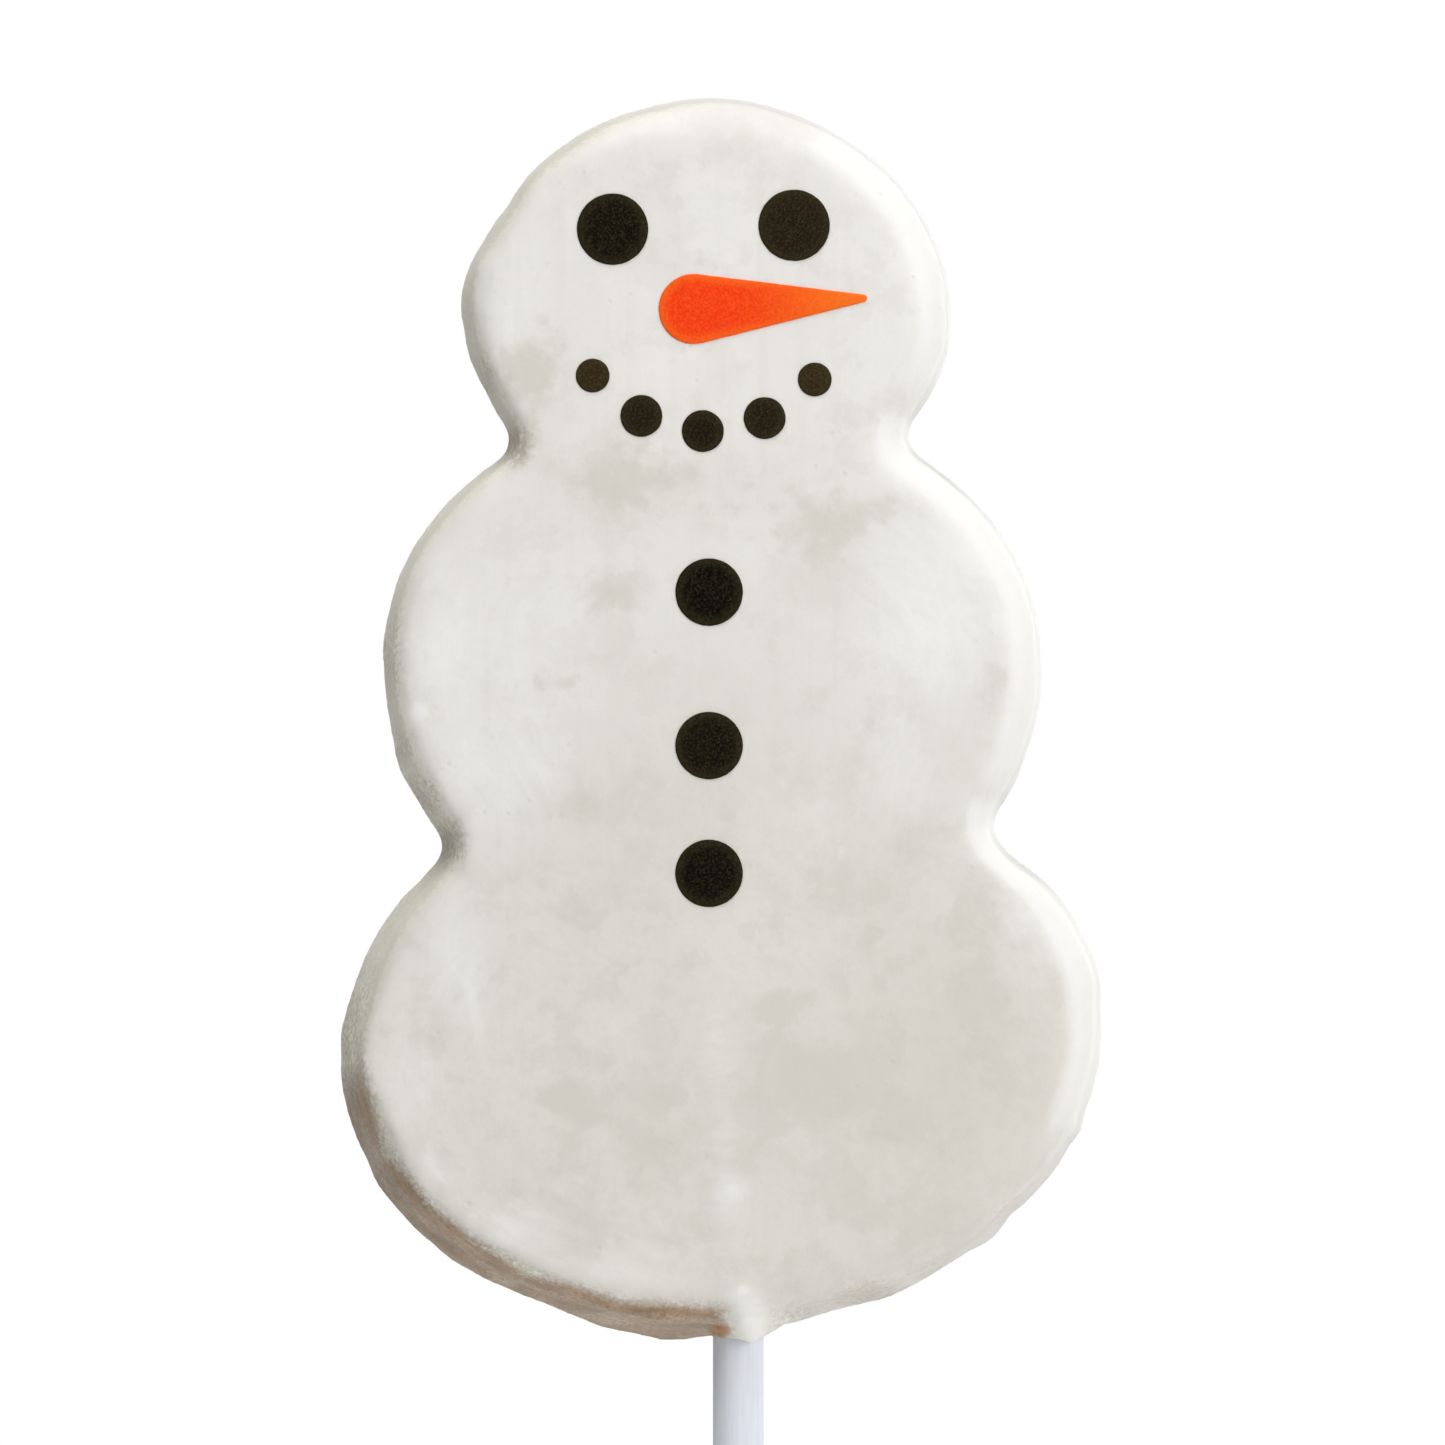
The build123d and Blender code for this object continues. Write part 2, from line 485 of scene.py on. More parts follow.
# Broad zones where the coating is thinner and looks more beige
BEIGE_ZONES = (
    ((0.45, 0.42), 12.0, 16.0, 0.9),
    ((0.78, 0.23), 12.0, 12.0, 2.4),
    ((0.60, 0.13), 12.0, 7.0, 1.1),
    ((0.36, 0.20), 8.0, 6.0, 0.7),
    ((0.44, 0.68), 9.0, 4.0, 0.9),
    ((0.67, 0.62), 6.0, 5.0, 0.6),
    ((0.25, 0.765), 4.0, 4.0, 0.6),
)

# Brown stain where the core shows through: place, half width, half height, strength
STAINS = (
    ((0.19, 0.77), 1.0, 3.5, 0.3),
    ((0.236, 0.720), 1.6, 1.6, 0.55),
    ((0.063, 0.555), 1.3, 4.5, 0.35),
    ((0.085, 0.475), 1.2, 1.7, 0.3),
    ((0.110, 0.435), 1.6, 2.0, 0.45),
    ((0.145, 0.400), 2.0, 2.0, 0.5),
    ((0.0, 0.25), 2.6, 7.0, 0.45),
    ((0.025, 0.17), 2.6, 4.5, 1.1),
    ((0.08, 0.105), 4.2, 4.0, 1.4),
    ((0.12, 0.075), 4.5, 3.5, 1.6),
    ((0.17, 0.055), 4.8, 3.4, 1.6),
    ((0.28, 0.02), 5.8, 3.4, 1.7),
    ((0.42, 0.0), 6.0, 3.2, 1.8),
    ((0.61, 0.01), 2.5, 1.6, 0.5),
    ((0.70, 0.03), 4.0, 1.6, 0.5),
    ((0.80, 0.05), 4.0, 1.6, 0.35),
    ((0.88, 0.10), 3.0, 2.0, 0.2),
)

# The bare brown place beside the stick: x and height above the body's foot, in mm
BARE_PLACE = (-1.5, 0.4)
BARE_HALF_SIZE = (0.9, 0.6)

STREAK_STRETCH = 0.17  # how much the streaks beside the edge are drawn out along it
RIDGE_FOOT = (0.515, 0.02)  # the buried stick shows as a low ridge from here
RIDGE_TOP = (0.49, 0.272)  # to here
RIDGE_HALF_WIDTH = 1.4
RIDGE_HEIGHT = 0.13
RIDGE_LUMP_HEIGHT = 0.12  # a lump on the ridge
RIDGE_LUMP_SHARE = 0.38  # its place, as a share of the ridge's length


def outline_coordinates(points):
    """For each point, how far it lies inside the outline, how far round, and the normal."""
    tree = kdtree.KDTree(len(OUTLINE))
    for i, (x, z) in enumerate(OUTLINE):
        tree.insert((x, 0, z), i)
    tree.balance()
    nearest = np.array([tree.find((p[0], 0, p[2]))[1] for p in points])
    normal = OUTLINE_NORMAL[nearest]
    inset = ((OUTLINE[nearest] - points[:, [0, 2]]) * normal).sum(1)
    return inset, nearest * OUTLINE_STEP, normal


def spot_at(flat, middle, half_size):
    """A soft oval spot: 1 at its middle, and about half of that at its half size."""
    away = (flat - middle) / np.array(half_size)
    return np.exp(-0.7 * (away**2).sum(1))


def spots_at(flat, spots):
    """The strongest of a list of spots at each point."""
    total = np.zeros(len(flat))
    for (u, v), across, up, strength in spots:
        total = np.maximum(total, strength * spot_at(flat, place(u, v), (across, up)))
    return total


def bare_at(flat, depth):
    """1 at the bare place beside the stick, on the front only."""
    middle = np.array([BARE_PLACE[0], BODY_LOW[2] + BARE_PLACE[1]])
    return spot_at(flat, middle, BARE_HALF_SIZE) * (depth < 0)


def ridge_over_stick(points):
    """The low, uneven ridge over the buried stick."""
    flat = points[:, [0, 2]]
    foot, top = place(*RIDGE_FOOT), place(*RIDGE_TOP)
    line = top - foot
    length = np.linalg.norm(line)
    line /= length
    along = (flat - foot) @ line
    across = (flat - foot) @ np.array([line[1], -line[0]]) + 0.25 * noise_at(points, 5.0, 13)
    fade = smooth_step(1.05, 0.5, along / length) * smooth_step(-0.25, 0.05, along / length)
    uneven = 0.65 + 0.6 * noise_at(points, 4.5, 14)
    ridge = RIDGE_HEIGHT * fade * uneven * bump_at(across, 0, RIDGE_HALF_WIDTH)
    lump = RIDGE_LUMP_HEIGHT * bump_at(along, RIDGE_LUMP_SHARE * length, 1.5)
    return ridge + lump * bump_at(across, -0.1, 1.6)


STROKE_STEP = 1.9  # from one wiped stroke to the next
STROKE_HEIGHT = 0.04
WIPED_RIM_HEIGHT = 0.12


def smear_strokes(points, inset, angle):
    """Strokes left beside the lower left edge where the coating was wiped along it."""
    sector = smooth_step(150, 190, angle) * smooth_step(285, 258, angle)
    wander = 0.9 * noise_at(points, 8.0, 11) + 0.3 * noise_at(points, 3.0, 15)
    strokes = np.sin((inset + wander) * 2 * math.pi / STROKE_STEP)
    faded = smooth_step(2.6, 4.0, inset) * smooth_step(11.0, 6.0, inset)
    broken = smooth_step(0.35, 0.75, 0.5 + 0.5 * noise_at(points, 5.0, 12))
    rim = WIPED_RIM_HEIGHT * bump_at(inset, 3.4, 0.7) * (0.6 + 0.5 * noise_at(points, 4.0, 16))
    return sector * (rim + STROKE_HEIGHT * strokes * faded * broken)


# Lines dragged across the lower face towards the stick: one end, the other, height
DRAG_LINES = (
    ((0.215, 0.135), (0.44, 0.05), 0.05),
    ((0.30, 0.125), (0.46, 0.065), 0.035),
    ((0.16, 0.105), (0.33, 0.048), 0.03),
    ((0.77, 0.165), (0.66, 0.10), 0.04),
    ((0.155, 0.30), (0.175, 0.20), 0.05),
)


def drag_lines(points):
    """The dragged lines as low, soft-ended ridges."""
    flat = points[:, [0, 2]]
    wander = 0.35 * noise_at(points, 4.0, 17)
    total = np.zeros(len(flat))
    for start, end, height in DRAG_LINES:
        start, along = place(*start), place(*end) - place(*start)
        length = np.linalg.norm(along)
        t = (flat - start) @ along / length**2
        across = (flat - start) @ np.array([along[1], -along[0]]) / length
        bowed = across + wander + 0.8 * np.sin(math.pi * t)
        ends = smooth_step(-0.1, 0.3, t) * smooth_step(1.1, 0.7, t)
        total += height * ends * bump_at(bowed, 0, 0.45)
    return total


DAB_MIDDLE = np.array([0.6, FRONT_Y + 1.6, BODY_LOW[2] + 1.4])
DAB_REACH = (5.5, 3.0)  # how far from its middle the smoothing starts and is full

# Unevenness of the face and of the wall: height in mm, size in mm and seed
FACE_RELIEF = ((0.12, 17.0, 21), (0.05, 7.0, 22), (0.028, 2.6, 23), (0.015, 1.1, 28))
WALL_RELIEF = ((0.05, 2.0, 29), (0.025, 0.9, 27))
BRUSH_HEIGHT = 0.010  # faint upright brush marks on the face
BRUSH_SIZE = np.array([0.9, 3.0, 22.0])
BACK_HOLLOW = 0.05  # how far the back is hollowed, so that it stays inside the CAD box
LOWER_HALF_SIZE = np.array([30, 23])


def about_lower_lobe(flat):
    """Each point's direction from the lower lobe's centre, in degrees, and 1 on that lobe."""
    from_centre = flat - LOWER_CENTRE
    angle = np.degrees(np.arctan2(from_centre[:, 1], from_centre[:, 0])) % 360
    return angle, smooth_step(1.35, 1.1, np.hypot(*(from_centre / LOWER_HALF_SIZE).T))


def mark_edge(mesh, inset, around):
    """Coordinates that follow the outline, for streaks drawn out along it."""
    turn = 2 * math.pi * around / OUTLINE_LENGTH
    loop = STREAK_STRETCH * OUTLINE_LENGTH / (2 * math.pi)
    set_attribute(mesh, "inset", inset * MM)
    set_attribute(mesh, "loop_x", loop * np.cos(turn) * MM)
    set_attribute(mesh, "loop_y", loop * np.sin(turn) * MM)


def dressed(mesh):
    """Adds the face's relief to the coating, and the numbers that its material reads."""
    near_dab = smooth_step(*DAB_REACH, np.linalg.norm(points_of(mesh) - DAB_MIDDLE, axis=1))
    relaxed(mesh, 2)
    relaxed(mesh, 26, 0.5 * near_dab)
    points, out = points_of(mesh), normals_of(mesh)
    flat = points[:, [0, 2]]
    inset, around, edge_out = outline_coordinates(points)
    angle, lower = about_lower_lobe(flat)
    facing = smooth_step(0.2, 0.8, -out[:, 1])
    backing = smooth_step(0.5, 0.9, out[:, 1])

    dragged = drag_lines(points)
    face = layered_noise(points, FACE_RELIEF)
    face += BRUSH_HEIGHT * noise_at(points / BRUSH_SIZE, 1.0, 24)
    face += ridge_over_stick(points) + lower * smear_strokes(points, inset, angle) + dragged
    back = 0.03 * noise_at(points, 9.0, 25) - BACK_HOLLOW
    points[:, 1] -= face * facing
    points[:, 1] += (back - 0.02 * np.abs(noise_at(points, 2.6, 26))) * backing
    roll = layered_noise(points, WALL_RELIEF) * (1 - np.maximum(facing, backing))
    points += out * roll[:, None]
    set_points(mesh, points)
    relaxed(mesh, 4, 0.5 * near_dab)
    points = points_of(mesh)
    points[:, 1] = np.minimum(points[:, 1], BACK_Y)
    set_points(mesh, points)

    on_side = smooth_step(0.92, 0.45, -out[:, 1]) * (1 - backing)
    near_rim = smooth_step(3.6, 1.3, inset) * (1 - backing)
    # Painted highlight: a whiter band along the rim that faces right, towards the light
    lit_right_side = smooth_step(0.15, 0.6, edge_out[:, 0]) * smooth_step(-0.75, -0.25, edge_out[:, 1])
    lit_rim_highlight = smooth_step(3.9, 1.7, inset) * lit_right_side * (1 - backing)
    # Whiter: partly thicker coating, partly painted highlight on raised relief, along the ridge
    # over the stick and along the lit right rim
    pale = spots_at(flat, PALE_SPOTS) + 1.2 * ridge_over_stick(points) + 3.0 * dragged
    pale = np.maximum(pale * smooth_step(1.5, -1.5, points[:, 1]), 0.85 * lit_rim_highlight)
    on_dab = smooth_step(0.12, 0.95, spots_at(flat, DAB_SPOTS))
    wiped = smooth_step(140, 185, angle) * smooth_step(290, 262, angle) * lower
    set_attribute(mesh, "blotch", spots_at(flat, BLOTCHES) * facing)
    set_attribute(mesh, "beige", spots_at(flat, BEIGE_ZONES) * facing)
    set_attribute(mesh, "stain", spots_at(flat, STAINS) * near_rim * (1 - on_dab))
    set_attribute(mesh, "pale", pale)
    set_attribute(mesh, "bare", bare_at(flat, points[:, 1]))
    set_attribute(mesh, "wiped", 0.12 + 0.88 * wiped)
    # Painted shade: the side walls that face left, away from the light, get an olive tint and
    # dark grains
    set_attribute(mesh, "shaded_wall", on_side * smooth_step(0.2, -0.45, out[:, 0]))
    mark_edge(mesh, inset, around)


# ---- Materials ----------------------------------------------------------------------


class Nodes:
    """A tree of nodes: short calls that add a node and return its output."""

    def __init__(self, owner):
        owner.use_nodes = True
        self.nodes = owner.node_tree.nodes
        self.links = owner.node_tree.links

    def put(self, socket, value):
        """Links a socket to the value, or sets it to a number or a colour."""
        if isinstance(value, bpy.types.NodeSocket):
            self.links.new(value, socket)
        elif isinstance(value, tuple):
            socket.default_value = (*value, 1.0)[: len(socket.default_value)]
        else:
            socket.default_value = value

    def math(self, operation, a, b):
        node = self.nodes.new("ShaderNodeMath")
        node.operation = operation
        self.put(node.inputs[0], a)
        self.put(node.inputs[1], b)
        return node.outputs[0]

    def plus(self, a, b):
        return self.math("ADD", a, b)

    def minus(self, a, b):
        return self.math("SUBTRACT", a, b)

    def times(self, a, b):
        return self.math("MULTIPLY", a, b)

    def larger(self, a, b):
        return self.math("MAXIMUM", a, b)

    def split(self, vector):
        node = self.nodes.new("ShaderNodeSeparateXYZ")
        self.put(node.inputs[0], vector)
        return node.outputs


class Shader(Nodes):
    """The nodes of a new material, which works in the object's own coordinates."""

    def __init__(self, name):
        self.material = bpy.data.materials.new(name)
        super().__init__(self.material)
        self.surface = self.nodes["Principled BSDF"]
        self.where = self.nodes.new("ShaderNodeTexCoord").outputs["Object"]

    def set(self, **values):
        """Sets or links the shader's own sockets, named with _ for spaces."""
        for name, value in values.items():
            self.put(self.surface.inputs[name.replace("_", " ")], value)

    def attribute(self, name):
        node = self.nodes.new("ShaderNodeAttribute")
        node.attribute_name = name
        return node.outputs["Fac"]

    def squeezed(self, scale):
        """The place in the object, scaled by its own amount on each axis."""
        node = self.nodes.new("ShaderNodeMapping")
        self.put(node.inputs["Vector"], self.where)
        node.inputs["Scale"].default_value = scale
        return node.outputs[0]

    def join(self, x, y, z):
        node = self.nodes.new("ShaderNodeCombineXYZ")
        for socket, value in zip(node.inputs, (x, y, z)):
            self.put(socket, value)
        return node.outputs[0]

    def noise(self, size, detail=3.0, rough=0.5, at=None):
        """Noise from 0 to 1 with features about size metres apart."""
        node = self.nodes.new("ShaderNodeTexNoise")
        self.put(node.inputs["Vector"], at or self.where)
        node.inputs["Scale"].default_value = 1 / size
        node.inputs["Detail"].default_value = detail
        node.inputs["Roughness"].default_value = rough
        return node.outputs["Fac"]

    def cells(self, size):
        """Distance to the nearest of scattered points about size metres apart."""
        node = self.nodes.new("ShaderNodeTexVoronoi")
        self.put(node.inputs["Vector"], self.where)
        node.inputs["Scale"].default_value = 1 / size
        return node.outputs["Distance"]

    def range(self, value, low, high, to_low=0.0, to_high=1.0):
        """The value taken smoothly from one range to another, and held at its ends."""
        node = self.nodes.new("ShaderNodeMapRange")
        node.interpolation_type = "SMOOTHSTEP"
        self.put(node.inputs["Value"], value)
        for socket, end in zip(node.inputs[1:5], (low, high, to_low, to_high)):
            socket.default_value = end
        return node.outputs[0]

    def mix(self, share, a, b):
        node = self.nodes.new("ShaderNodeMix")
        node.data_type = "RGBA"
        self.put(node.inputs[0], share)
        self.put(node.inputs[6], a)
        self.put(node.inputs[7], b)
        return node.outputs[2]

    def bump(self, height, distance, strength):
        node = self.nodes.new("ShaderNodeBump")
        self.put(node.inputs["Height"], height)
        node.inputs["Distance"].default_value = distance
        node.inputs["Strength"].default_value = strength
        return node.outputs[0]


# The coating's colours, from its thick white to the core that shows through it, with an olive
# that is a painted shade tint
COAT_WHITE = (0.872, 0.856, 0.826)
COAT_WARM = (0.83, 0.81, 0.78)
COAT_BEIGE = (0.70, 0.675, 0.618)
COAT_THIN = (0.69, 0.66, 0.60)
COAT_DULL = (0.575, 0.545, 0.49)
# Partly thick white, partly painted highlight
COAT_PALE = (0.93, 0.928, 0.91)
# Painted shade tint for the walls that face away from the light
SHADED_WALL_OLIVE = (0.93, 0.915, 0.79)
STAIN_GREY = (0.57, 0.51, 0.43)
STAIN_TAN = (0.51, 0.365, 0.245)
STAIN_DARK = (0.23, 0.155, 0.095)
BARE_BROWN = (0.50, 0.27, 0.14)


def mottled(s):
    """The coating's white, with clouds, patches and streaks, and duller low down: partly its own
    colour, partly painted shade.
    """
    height = s.split(s.where)[2]
    cloud = s.noise(0.020, 4)
    colour = s.mix(s.range(cloud, 0.38, 0.62, 0.0, 0.7), COAT_WHITE, COAT_WARM)
    # Darker towards the bottom: partly thinner coating, partly painted shade of the light
    # falling off down the body
    lower = s.range(height, (BODY_LOW[2] + 60) * MM, (BODY_LOW[2] + 8) * MM, 0.04, 0.5)
    colour = s.mix(lower, colour, COAT_THIN)
    patches = s.range(s.noise(0.009, 8, 0.58), 0.52, 0.58, 0.0, 0.21)
    colour = s.mix(patches, colour, COAT_THIN)
    small_patches = s.range(s.noise(0.0032, 7, 0.6), 0.53, 0.61, 0.0, 0.19)
    colour = s.mix(small_patches, colour, COAT_THIN)
    upright = s.noise(0.0011, 4, 0.55, at=s.squeezed((1.0, 1.0, 0.05)))
    colour = s.mix(s.range(upright, 0.5, 0.68, 0.0, 0.11), colour, COAT_THIN)

    beige = s.times(s.attribute("beige"), s.range(cloud, 0.3, 0.6, 0.28, 0.52))
    colour = s.mix(beige, colour, COAT_BEIGE)
    # More dull patches low down: partly their own colour, partly painted shade
    low_down = s.range(height, (BODY_LOW[2] + 55) * MM, (BODY_LOW[2] + 30) * MM, 0.12, 1.0)
    dull = s.times(s.range(s.noise(0.0055, 7, 0.62), 0.49, 0.58, 0.0, 0.21), low_down)
    colour = s.mix(dull, colour, COAT_DULL)
    mottle = s.times(s.range(s.noise(0.0015, 5, 0.7), 0.47, 0.62, 0.0, 0.11), low_down)
    return s.mix(mottle, colour, COAT_DULL)


def stained(s, colour, streaky, grit):
    """The colour with the ragged brown stain, and with the bare place beside the stick."""
    stain = s.attribute("stain")
    unevenness = s.times(s.minus(streaky, 0.65), s.range(stain, 0.0, 0.4, 0.0, 1.8))
    sandy = s.times(s.minus(grit, 0.5), s.range(stain, 0.0, 0.3, 0.0, 1.6))
    ragged_stain = s.plus(s.plus(stain, unevenness), sandy)
    grain = s.plus(streaky, s.times(grit, 0.5))
    inner = s.times(s.range(s.attribute("inset"), 0.0007, 0.0017), s.range(stain, 0.45, 1.0))
    redness = s.larger(s.range(stain, 0.7, 1.8, 0.0, 0.8), inner)
    stain_colour = s.mix(redness, STAIN_GREY, STAIN_TAN)
    stain_colour = s.mix(s.range(grain, 0.72, 1.02, 0.75, 0.0), stain_colour, STAIN_DARK)
    colour = s.mix(s.range(ragged_stain, 0.02, 0.95), colour, stain_colour)
    bare = s.attribute("bare")
    ragged_bare = s.plus(bare, s.times(s.minus(grain, 0.9), s.range(bare, 0.0, 0.3)))
    return s.mix(s.range(ragged_bare, 0.3, 0.85), colour, BARE_BROWN)


def grainy(s, colour, grit):
    """The colour with dark grains on the stain, and painted shade grains on the side wall that
    faces away from the light.
    """
    stain = s.attribute("stain")
    stain_and_shaded_wall = s.larger(s.times(s.attribute("shaded_wall"), 0.6), stain)
    grains = s.times(s.range(grit, 0.44, 0.6), s.range(stain_and_shaded_wall, 0.0, 1.5, 0.02, 0.75))
    return s.mix(grains, colour, s.mix(s.range(stain, 0.1, 0.7), STAIN_GREY, STAIN_DARK))


def coating_material():
    """Off-white confectionery coating: mottled, faintly streaked, stained where thin."""
    s = Shader("white_coating")
    fine = s.noise(0.0014, 5, 0.65)
    sand = s.noise(0.00024, 2, 0.7)
    grit = s.noise(0.0004, 3, 0.8)
    ragged = s.plus(s.times(s.noise(0.0034, 6, 0.62), 0.7), s.times(fine, 0.3))
    beside_edge = s.join(s.attribute("inset"), s.attribute("loop_x"), s.attribute("loop_y"))
    strokes = s.noise(0.0009, 5, 0.6, at=beside_edge)
    near_edge = s.times(s.range(s.attribute("inset"), 0.014, 0.005), s.attribute("wiped"))
    specks = s.times(s.range(s.cells(0.0021), 0.13, 0.06), s.range(s.noise(0.011, 2), 0.5, 0.62))

    colour = mottled(s)
    blotch = s.plus(s.attribute("blotch"), s.times(ragged, 2.6))
    colour = s.mix(s.range(blotch, 1.5, 2.1, 0.0, 0.85), colour, COAT_THIN)
    wiped_lines = s.times(s.range(strokes, 0.52, 0.66), s.times(near_edge, 0.22))
    colour = s.mix(wiped_lines, colour, COAT_THIN)
    # Whiter where the coating is thicker, and painted highlight on raised relief and the lit
    # right rim
    pale = s.plus(s.attribute("pale"), s.times(strokes, 0.5))
    colour = s.mix(s.range(pale, 0.4, 1.15, 0.0, 0.75), colour, COAT_PALE)
    colour = s.mix(s.times(specks, 0.3), colour, COAT_THIN)
    # Painted shade: the olive tint of the walls that face away from the light
    colour = s.mix(s.times(s.attribute("shaded_wall"), 0.75), colour, SHADED_WALL_OLIVE)
    stripes = s.times(s.noise(0.00038, 3, 0.6, at=beside_edge), 0.35)
    streaks = s.plus(s.times(s.noise(0.0008, 4, 0.6, at=beside_edge), 0.65), stripes)
    colour = stained(s, colour, s.plus(streaks, s.times(fine, 0.3)), grit)
    colour = grainy(s, colour, grit)

    ripple = s.noise(0.0012, 4, 0.55)
    height = s.plus(s.times(ripple, 0.6), s.times(sand, 0.12))
    height = s.plus(height, s.times(s.times(strokes, near_edge), 0.5))
    height = s.minus(height, s.times(specks, 0.4))
    s.set(
        Base_Color=colour,
        Roughness=s.range(fine, 0.3, 0.7, 0.42, 0.6),
        Subsurface_Weight=0.2,
        Subsurface_Radius=(1.0, 0.85, 0.65),
        Subsurface_Scale=0.0006,
        Specular_IOR_Level=0.35,
        Normal=s.bump(height, 0.00007, 0.7),
    )
    return s.material


def icing_material(name, deep, pale, rim, worn, sparse=0.0):
    """Dry sugar icing: fine pale grains on the deep colour, fewer when they are sparse."""
    s = Shader(name)
    grain = s.noise(0.00019, 2, 0.8)
    fleck = s.noise(0.0006, 3, 0.6)
    colour = s.mix(s.range(grain, 0.36 + sparse, 0.66 + sparse), deep, pale)
    colour = s.mix(s.range(fleck, 0.45, 0.75, 0.0, 0.2), colour, pale)
    worn_share = s.times(s.attribute("worn"), s.range(grain, 0.3, 0.7, 0.6, 1.4))
    colour = s.mix(worn_share, colour, worn)
    rim_share = s.times(s.attribute("edge"), s.range(grain, 0.2, 0.7, 0.7, 1.0))
    colour = s.mix(rim_share, colour, rim)
    s.set(
        Base_Color=colour,
        Roughness=s.range(fleck, 0.3, 0.7, 0.65, 0.85),
        Specular_IOR_Level=0.07,
        Normal=s.bump(grain, 0.00005, 0.5),
    )
    return s.material


PAPER_WHITE = (0.785, 0.81, 0.875)
PAPER_FIBRE = (0.71, 0.74, 0.815)
PAPER_CLOUD = (0.73, 0.73, 0.755)
PAPER_SEAM = (0.5, 0.5, 0.53)
CRUMB_GOLD = (0.56, 0.33, 0.15)
CRUMB_BROWN = (0.36, 0.18, 0.07)
CRUMB_PORE = (0.2, 0.09, 0.035)


def paper_material():
    """Rolled paper: cool white, with fibres along the stick."""
    s = Shader("paper_stick")
    fibre = s.noise(0.00035, 4, 0.6, at=s.squeezed((1.0, 1.0, 0.05)))
    cloud = s.noise(0.004, 3)
    colour = s.mix(s.range(fibre, 0.3, 0.75), PAPER_WHITE, PAPER_FIBRE)
    colour = s.mix(s.range(cloud, 0.4, 0.7, 0, 0.3), colour, PAPER_CLOUD)
    colour = s.mix(s.attribute("seam"), colour, PAPER_SEAM)
    tooth = s.noise(0.00012, 3, 0.6)
    height = s.plus(s.times(fibre, 0.6), s.times(tooth, 0.4))
    s.set(
        Base_Color=colour,
        Roughness=s.range(cloud, 0.3, 0.7, 0.62, 0.74),
        Specular_IOR_Level=0.1,
        Normal=s.bump(height, 0.00002, 0.6),
    )
    return s.material


def core_material():
    """Baked core: golden brown crumb with darker pores."""
    s = Shader("baked_core")
    crumb = s.noise(0.0012, 5, 0.65)
    colour = s.mix(s.range(crumb, 0.35, 0.65), CRUMB_GOLD, CRUMB_BROWN)
    pores = s.range(s.cells(0.0022), 0.22, 0.08)
    colour = s.mix(s.times(pores, 0.6), colour, CRUMB_PORE)
    height = s.minus(crumb, pores)
    s.set(
        Base_Color=colour,
        Roughness=s.range(crumb, 0.3, 0.7, 0.75, 0.92),
        Specular_IOR_Level=0.2,
        Normal=s.bump(height, 0.0002, 0.8),
    )
    return s.material


# ---- Pieces -------------------------------------------------------------------------

coating_look = coating_material()


def make_coating():
    """The coating, with its relief and the dab at the stick's entry."""
    mesh = closed_form()
    dressed(mesh)
    return finished("coating", mesh, coating_look, "coating", "white_coating")


def surface_finder(piece):
    """A function that gives the depth, in millimetres, of the piece's front at x, z."""
    mesh = piece.data
    points = [v.co.copy() for v in mesh.vertices]
    tree = BVHTree.FromPolygons(points, [p.vertices for p in mesh.polygons])
    start_y = (FRONT_Y - 5) * MM

    def depth(x, z):
        hit = tree.ray_cast(Vector((x * MM, start_y, z * MM)), Vector((0, 1, 0)))
        return hit[0].y / MM if hit[0] is not None else FRONT_Y

    return depth


ICING_STEP = 0.14  # from point to point
ICING_ROUND = 0.14  # rounding of the rim
ICING_PROUD = 0.13  # how much the rim stands out of the coating
ICING_DOME = 0.06  # how much further the middle stands out
ICING_BELOW = 0.35  # how far it reaches into the coating
SPINE_CELL = 0.2  # from point to point on the nose's middle line
ICING_GRAIN = ((0.012, 0.3, 41), (0.015, 0.9, 42))  # height, size and seed
TIP_RADIUS = 0.3  # of the nose


def icing_rim(node):
    """The outline of an icing piece, from its CAD mesh, and the line at its middle."""
    mesh = frame["nodes"][node].data
    points = points_of(mesh) / MM
    low, high = box_mm(node)
    rim = np.unique(np.round(points[points[:, 1] > high[1] - 1e-3][:, [0, 2]], 3), axis=0)
    radius = (high[2] - low[2]) / 2
    root = np.array([low[0] + radius, (low[2] + high[2]) / 2])
    tip = rim[np.argmax(rim[:, 0])] if high[0] - low[0] > 2.5 * radius else root
    reach = np.linalg.norm(tip - root)
    if reach > 0:
        tip = root + (tip - root) * (1 - TIP_RADIUS / reach)
    middle = (root + tip) / 2
    rim = rim[np.argsort(np.arctan2(rim[:, 1] - middle[1], rim[:, 0] - middle[0]))]
    return resampled(rim, ICING_STEP), root, tip


def cushion_rings(reach):
    """Each ring of a cushion: how far inside its rim, and how far proud of the coating."""
    level = np.zeros_like(reach)
    yield 0.25 * reach, level - ICING_BELOW
    yield level, level - ICING_BELOW
    for angle in np.linspace(0, math.pi / 2, 4):
        up = ICING_PROUD - ICING_ROUND * (1 - math.sin(angle))
        yield level + ICING_ROUND * (1 - math.cos(angle)), level + up
    steps = max(6, round(reach.max() / ICING_STEP))
    to_middle = reach.max() - ICING_ROUND
    for t in np.linspace(0, 1, steps)[1:]:
        inward = np.minimum(ICING_ROUND + t * to_middle, reach)
        share = (inward - ICING_ROUND) / to_middle
        yield inward, ICING_PROUD + ICING_DOME * np.sin(math.pi / 2 * share)


